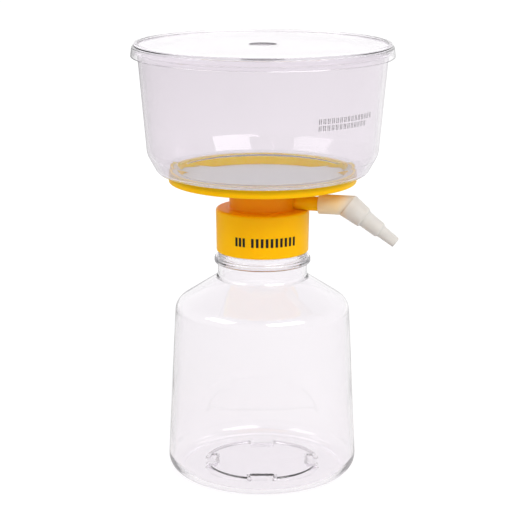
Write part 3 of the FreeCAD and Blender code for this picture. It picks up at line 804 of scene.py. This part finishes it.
# %% Elbow
COLLAR_CLEAR = 5.2           # from the collar out to the sleeve's open end
PORT_FIT = 0.05
SLEEVE_WALL = 1.25
PORT_STOP_GAP = 0.3          # from the port's end to the stop inside the sleeve
SLEEVE_START = collar_r + COLLAR_CLEAR
SLEEVE_R = PORT_R + PORT_FIT + SLEEVE_WALL
SOCKET_END = PORT_REACH + PORT_STOP_GAP
STEP_LENGTH = 9.8
STEP_FAR_R = (5.15, 3.85, 2.6)
STEP_NEAR_R = (4.3, 3.1)
STEP_SHOULDER = 0.5
ELBOW_BORE_R = 1.8
ROOT_STAND = 0.15            # how far the nozzle's root stands out from the sleeve
MILK_CLOUD_SIZE = 5.0
PAINTED_GLOW_X = (4.0, -2.0)         # the painted amber glow comes in between these distances past the port's end
PAINTED_GLOW_Z = (-5.0, 4.0)         # and grows between these heights over the port's axis, towards the plate
PAINTED_GLOW_UNDER = 0.45            # what is left of it underneath
SCATTER_DEPTH = 1.5

bend_angle = math.acos(nozzle_way[0])
bend = nozzle_tip - nozzle_way * 3 * STEP_LENGTH
lean = np.array([math.sin(bend_angle), 0, math.cos(bend_angle)])
root_r = SLEEVE_R / math.cos(bend_angle) + ROOT_STAND


def soft_plastic():
    """Moulded translucent elastomer: milky and waxy, with a painted amber glow where the port and plate shine into its
    sleeve.
    """
    material, tree, shader = new_finish("moulded_translucent_elastomer", {
        "Roughness": 0.5, "IOR": 1.45, "Specular IOR Level": 0.3, "Transmission Weight": 0.05,
        "Subsurface Weight": 0.5, "Subsurface Radius": (1.0, 0.95, 0.88),
        "Subsurface Scale": SCATTER_DEPTH * MM})
    place = add(tree, "TexCoord").outputs["Object"]
    cloud = add(tree, "TexNoise", {"Vector": place, "Scale": 1 / (MILK_CLOUD_SIZE * MM), "Detail": 2.0})
    milky = add(tree, "Mix", {"Factor": cloud.outputs["Fac"], 6: linear("D4CFC9"), 7: linear("DDDAD5")},
                data_type="RGBA")
    where = add(tree, "SeparateXYZ", {0: place})
    over_port = add(tree, "MapRange", {"Value": where.outputs["X"],
                                       "From Min": (PORT_REACH + PAINTED_GLOW_X[0]) * MM,
                                       "From Max": (PORT_REACH + PAINTED_GLOW_X[1]) * MM})
    upper = add(tree, "MapRange", {"Value": where.outputs["Z"], "From Min": (port_z + PAINTED_GLOW_Z[0]) * MM,
                                   "From Max": (port_z + PAINTED_GLOW_Z[1]) * MM, "To Min": PAINTED_GLOW_UNDER})
    glow = add(tree, "Math", {0: over_port.outputs[0], 1: upper.outputs[0]}, operation="MULTIPLY")
    # the pale amber is painted light from the port and the plate
    colour = add(tree, "Mix", {"Factor": glow.outputs[0], 6: milky.outputs[2], 7: linear("FFE2AA")},
                 data_type="RGBA")
    tree.links.new(colour.outputs[2], shader.inputs["Base Color"])
    return material


def rings(rows, segments=96):
    """Grid of ellipses, centre + up * a * sin(t) + Y * b * cos(t), from one row (centre, up, a, b) for each."""
    t = np.linspace(0, 2 * math.pi, segments, endpoint=False)[:, None, None]
    centre, up = (np.array([row[i] for row in rows]) for i in (0, 1))
    a, b = (np.array([row[i] for row in rows])[:, None] for i in (2, 3))
    return centre + up * a * np.sin(t) + np.array([0, 1, 0]) * b * np.cos(t)


def elbow_rows():
    """Rings down the outside from the sleeve's open end to the tip, then back up the bore."""
    level = np.array([0, 0, 1])
    rows = []

    def on_port(x, radius):
        rows.append((np.array([x, 0, port_z]), level, radius, radius))

    def on_nozzle(along, radius):
        rows.append((bend + nozzle_way * along, lean, radius, radius))

    socket_r = PORT_R + PORT_FIT
    # The open end is eased by about 0.3 mm inside and out, and the edge of the nozzle's root by about 0.2 mm.
    on_port(SLEEVE_START + 0.1, socket_r)
    on_port(SLEEVE_START, socket_r + 0.3)
    on_port(SLEEVE_START, SLEEVE_R - 0.35)
    on_port(SLEEVE_START + 0.1, SLEEVE_R - 0.1)
    on_port(SLEEVE_START + 0.35, SLEEVE_R)
    rows.append((bend, lean, SLEEVE_R / math.cos(bend_angle), SLEEVE_R))
    on_nozzle(0, root_r - 0.2)
    on_nozzle(0.06, root_r - 0.05)
    on_nozzle(0.25, root_r)
    steps = [(0, root_r)]
    for i, near_r in enumerate(STEP_NEAR_R):
        steps += [((i + 1) * STEP_LENGTH, STEP_FAR_R[i]), ((i + 1) * STEP_LENGTH + STEP_SHOULDER, near_r)]
    steps.append((3 * STEP_LENGTH, STEP_FAR_R[-1]))
    profile = section([
        (0, -STEP_LENGTH, 0), (root_r, -STEP_LENGTH, 0),
        *[(radius, along, 0.45) for along, radius in steps[1:]],
        (ELBOW_BORE_R, 3 * STEP_LENGTH, 0.25), (ELBOW_BORE_R, 0, 0),
    ])
    down = profile[(profile[:, 1] > 0.4) & (profile[:, 1] <= 3 * STEP_LENGTH + 1e-6)]
    for radius, along in down:
        on_nozzle(along, radius)
    rows.append((bend, (lean + level) / np.linalg.norm(lean + level),
                 ELBOW_BORE_R / math.cos(bend_angle / 2), ELBOW_BORE_R))
    on_port(SOCKET_END, ELBOW_BORE_R)
    on_port(SOCKET_END, socket_r)
    return rows


elastomer = soft_plastic()
elbow = skin("hose_elbow_soft", rings(elbow_rows()), elastomer, "elbow", ["hose_elbow"])

# %% [markdown]
# ## Printing
#
# The real unit carries black pad printing on its collar and a grey ink-jet code on the funnel.  Plain bars and
# rows of dots stand in for both.  Each mark is a thin plate that is bent round the wall just outside it, so
# the ink has an edge of its own and needs no picture.  All the marks of one print are worked out together.

# %% Ink
INK_LIFT = 0.02              # a hair off the wall, so that the two never share a surface
INK_THICK = 0.03
INK_GRAIN = 0.4


def printing_ink(name, shade):
    """Dry pigment ink, which sits on the gloss as a dull dark film, a little uneven in tone."""
    material, tree, shader = new_finish(name, {"Roughness": 0.6, "Specular IOR Level": 0.1})
    place = add(tree, "TexCoord").outputs["Object"]
    grain = add(tree, "TexNoise", {"Vector": place, "Scale": 1 / (INK_GRAIN * MM)})
    colour = add(tree, "Mix", {"Factor": grain.outputs["Fac"], 6: linear(shade), 7: linear("2A2522")},
                 data_type="RGBA")
    tree.links.new(colour.outputs[2], shader.inputs["Base Color"])
    return material


def printed(name, marks, wall, material, body, columns=5):
    """Closed thin plates on a wall of revolution; marks has rows (first angle, last angle, low z, high z).

    Each plate is a grid: `columns` angles across, and round its section low-in, low-out, high-out, high-in.
    """
    marks = np.array(marks, float)
    share = np.linspace(0, 1, columns)
    angle = marks[:, :1] + (marks[:, 1:2] - marks[:, :1]) * share
    z = marks[:, [2, 2, 3, 3]]
    radius = wall(z) + INK_LIFT + np.array([0, INK_THICK, INK_THICK, 0])
    place = np.stack([radius[:, None] * np.cos(angle)[..., None],
                      radius[:, None] * np.sin(angle)[..., None],
                      np.broadcast_to(z[:, None], (len(marks), columns, 4))], axis=-1)
    index = np.arange(place[..., 0].size).reshape(place.shape[:3])
    ahead = np.roll(index, -1, axis=2)
    sides = np.stack([index[:, :-1], index[:, 1:], ahead[:, 1:], ahead[:, :-1]], axis=-1)
    caps = np.concatenate([index[:, :1], index[:, -1:, ::-1]], axis=1)
    faces = sides.reshape(-1, 4).tolist() + caps.reshape(-1, 4).tolist()
    mesh = bpy.data.meshes.new(name)
    mesh.from_pydata(place.reshape(-1, 3) * MM, [], faces)
    return finish_piece(name, mesh, material, body)


def collar_wall(z):
    """Radius of the collar's drafted outer wall."""
    return collar_r - COLLAR_DRAFT * (collar_top_z - z) / (collar_top_z - collar_foot_z)


def funnel_wall(z):
    """Radius of the funnel's straight outer wall between its upper corner and its mouth."""
    foot = flange_z + LOW_RISE
    return low_r + (mouth_r - low_r) * (z - foot) / (mouth_z - foot)


print("collar %.2f mm in radius at its top, funnel %.2f mm at its mouth"
      % (collar_wall(collar_top_z), funnel_wall(mouth_z)))

# %% Two prints
FRONT = CAMERA_AZIMUTH - math.pi / 2      # the prints are on the side that faces the camera
BAR_STARTS = (-35, -30, -25, -14, -8, -2, 4, 10, 16, 22, 28, 34, 40.0)      # degrees from the front
BAR_WIDTH = 3.2              # degrees
BAR_LOW_Z, BAR_HIGH_Z = 118.2, 122.6
DOT_ROWS = ((183.7, 15), (180.5, 13))     # height and number of marks, each two dots wide and four high
DOTS_FROM = 26               # degrees from the front
MARK_PITCH, DOT_PITCH = 2.3, 0.9          # degrees
DOT_DROP, DOT_RISE = 1.1, 0.62            # from the row's height to its lowest dot, and between dots
DOT_ANGLE, DOT_HEIGHT = 0.0075, 0.42      # radians and mm

bars = [(FRONT + math.radians(start), FRONT + math.radians(start + BAR_WIDTH), BAR_LOW_Z, BAR_HIGH_Z)
        for start in BAR_STARTS]
pad_ink = printing_ink("pad_printing_ink", "1C1A1A")
collar_print = printed("collar_print", bars, collar_wall, pad_ink, "filter_head")
dots = []
for row_z, count in DOT_ROWS:
    for mark in range(count):
        for column in range(2):
            for level in range(4):
                start = FRONT + math.radians(DOTS_FROM + MARK_PITCH * mark + DOT_PITCH * column)
                low = row_z - DOT_DROP + DOT_RISE * level
                dots.append((start, start + DOT_ANGLE, low, low + DOT_HEIGHT))
jet_ink = printing_ink("ink_jet_ink", "4A4648")
funnel_print = printed("funnel_print", dots, funnel_wall, jet_ink, "filter_head", 2)

# %% [markdown]
# ## Pieces that stay hidden
#
# The cotton plug lies inside the port and the sealing ring under the collar's ceiling.  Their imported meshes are
# fine enough, so they only get a plain finish: cotton is dull and off-white, and silicone has a soft sheen.

# %% Hidden pieces
for node, name, shade, roughness in (("port_plug", "cotton_plug", "EFEDE8", 0.9),
                                     ("sealing_ring", "silicone_ring", "DDDAD4", 0.5)):
    material, _, _ = new_finish(name, {"Base Color": linear(shade), "Roughness": roughness})
    for slot_of in frame["nodes"][node].material_slots:
        slot_of.material = material
    print("%-14s %s" % (node, name))

# %% [markdown]
# ## Studio
#
# Clear parts show what is behind them.  The ground and the far wall are white to the camera and to rays that
# pass through or bounce off clear plastic, while the lamps light the object at an even, ordinary level.
#
# An all-white set would flatten the clear walls, so it varies.  The ground that the object mirrors falls off
# towards -X, as in a room with its window on the other side.  The wall dims overhead, so that curved walls
# catch a gradient and not one white.

# %% Floor
bpy.context.scene.view_settings.view_transform = "Standard"
FLOOR_SIZE = 8.0             # in metres, as are the reaches below
GLOW_REACH, GLOW = (0.25, 1.0), (0.72, 0.9)         # how bright the ground looks, from the object outwards
MIRROR_REACH, MIRRORED = (-0.9, 0.9), (0.05, 0.95)  # how much of it shows in glossy reflections, along X
WALL_RISE, WALL_SEEN = (0.4, 0.95), (1.0, 0.5)      # how bright the wall looks, by the ray's Z
ROOM_RISE, ROOM_LIGHT = (0.1, 0.8), (1.0, 0.3)      # what light the room gives, by the ray's Z

floor_mesh = bpy.data.meshes.new("floor")
half = FLOOR_SIZE / 2
floor_corners = [(-half, -half, 0), (half, -half, 0), (half, half, 0), (-half, half, 0)]
floor_mesh.from_pydata(floor_corners, [], [(0, 1, 2, 3)])
floor = bpy.data.objects.new("floor", floor_mesh)
bpy.context.scene.collection.objects.link(floor)


def seen_directly(tree, mirrored=None):
    """max(camera, transmission, mirrored * glossy): how brightly this ray shows the white set."""
    path = add(tree, "LightPath")
    glossy = path.outputs["Is Glossy Ray"]
    if mirrored:
        glossy = add(tree, "Math", {0: glossy, 1: mirrored}, operation="MULTIPLY").outputs[0]
    either = add(tree, "Math", {0: path.outputs["Is Camera Ray"], 1: glossy}, operation="MAXIMUM")
    return add(tree, "Math", {0: either.outputs[0], 1: path.outputs["Is Transmission Ray"]}, operation="MAXIMUM")


# Matt white card, which gives the eye a plain ground with soft shadows.
floor_paint = bpy.data.materials.new("white_card")
floor_paint.use_nodes = True
tree = floor_paint.node_tree
tree.nodes.clear()
diffuse = add(tree, "BsdfDiffuse", {"Color": linear("E6E6E6")})
faint = add(tree, "BsdfDiffuse", {"Color": linear("9A9A9A")})
position = add(tree, "NewGeometry")
away = add(tree, "VectorMath", {0: position.outputs["Position"]}, operation="LENGTH")
glow = add(tree, "MapRange", {"Value": away.outputs["Value"], "From Min": GLOW_REACH[0],
                              "From Max": GLOW_REACH[1], "To Min": GLOW[0], "To Max": GLOW[1]})
side = add(tree, "SeparateXYZ", {0: position.outputs["Position"]})
mirrored = add(tree, "MapRange", {"Value": side.outputs["X"], "From Min": MIRROR_REACH[0],
                                  "From Max": MIRROR_REACH[1], "To Min": MIRRORED[0], "To Max": MIRRORED[1]})
bright = add(tree, "Math", {0: glow.outputs[0], 1: seen_directly(tree, mirrored.outputs[0]).outputs[0]},
             operation="MULTIPLY")
white = add(tree, "Emission", {"Color": (1, 1, 1, 1), "Strength": bright.outputs[0]})
shown = add(tree, "AddShader", {0: faint.outputs[0], 1: white.outputs[0]})
pick = add(tree, "MixShader", {0: seen_directly(tree).outputs[0], 1: diffuse.outputs[0], 2: shown.outputs[0]})
add(tree, "OutputMaterial", {"Surface": pick.outputs[0]})
floor_mesh.materials.append(floor_paint)
print("floor %.0f m across" % FLOOR_SIZE)

# %% World
world = bpy.data.worlds.new("studio")
bpy.context.scene.world = world
world.use_nodes = True
tree = world.node_tree
tree.nodes.clear()
way = add(tree, "TexCoord")
split = add(tree, "SeparateXYZ", {0: way.outputs["Generated"]})
upward = add(tree, "MapRange", {"Value": split.outputs["Z"], "From Min": WALL_RISE[0],
                                "From Max": WALL_RISE[1], "To Min": WALL_SEEN[0], "To Max": WALL_SEEN[1]})
around = add(tree, "MapRange", {"Value": split.outputs["Z"], "From Min": ROOM_RISE[0],
                                "From Max": ROOM_RISE[1], "To Min": ROOM_LIGHT[0], "To Max": ROOM_LIGHT[1]})
room = add(tree, "Background", {"Color": (1, 1, 1, 1), "Strength": around.outputs[0]})
wall_seen = add(tree, "Background", {"Color": (1, 1, 1, 1), "Strength": upward.outputs[0]})
pick = add(tree, "MixShader", {0: seen_directly(tree).outputs[0], 1: room.outputs[0],
                               2: wall_seen.outputs[0]})
add(tree, "OutputWorld", {"Surface": pick.outputs[0]})
print("world", world.name)

# %% [markdown]
# ## Lamps
#
# Three soft boxes, as round a table-top set: a key to the right of the camera, a weaker fill to its left and
# the weakest behind the object.  Each is given by the radiance of its face, because that is what a reflection
# of it shows, and the watts follow from its area.


# %% Lamps
def soft_box(name, azimuth, elevation, distance, width, height, radiance):
    """Rectangular lamp that faces the axis at the foot of the rim; its power in watts is pi * area * radiance.

    Its angles are in degrees, the azimuth from the camera's side towards +X, and its lengths in metres.
    """
    lamp = bpy.data.lights.new(name, "AREA")
    lamp.shape = "RECTANGLE"
    lamp.size, lamp.size_y = width, height
    lamp.energy = math.pi * width * height * radiance
    holder = bpy.data.objects.new(name, lamp)
    bpy.context.scene.collection.objects.link(holder)
    turn = CAMERA_AZIMUTH + math.radians(azimuth)
    rise = math.radians(elevation)
    away = np.array([math.sin(turn) * math.cos(rise), -math.cos(turn) * math.cos(rise), math.sin(rise)])
    holder.location = away * distance + np.array([0, 0, rim_z * MM])
    holder.rotation_euler = (math.pi / 2 - rise, 0, turn)
    return holder


soft_box("key", 36, 40, 1.1, 0.9, 0.45, 5.6)
soft_box("fill", -70, 40, 1.1, 0.7, 0.45, 3.4)
soft_box("back", 170, 50, 1.2, 0.9, 0.5, 2.2)
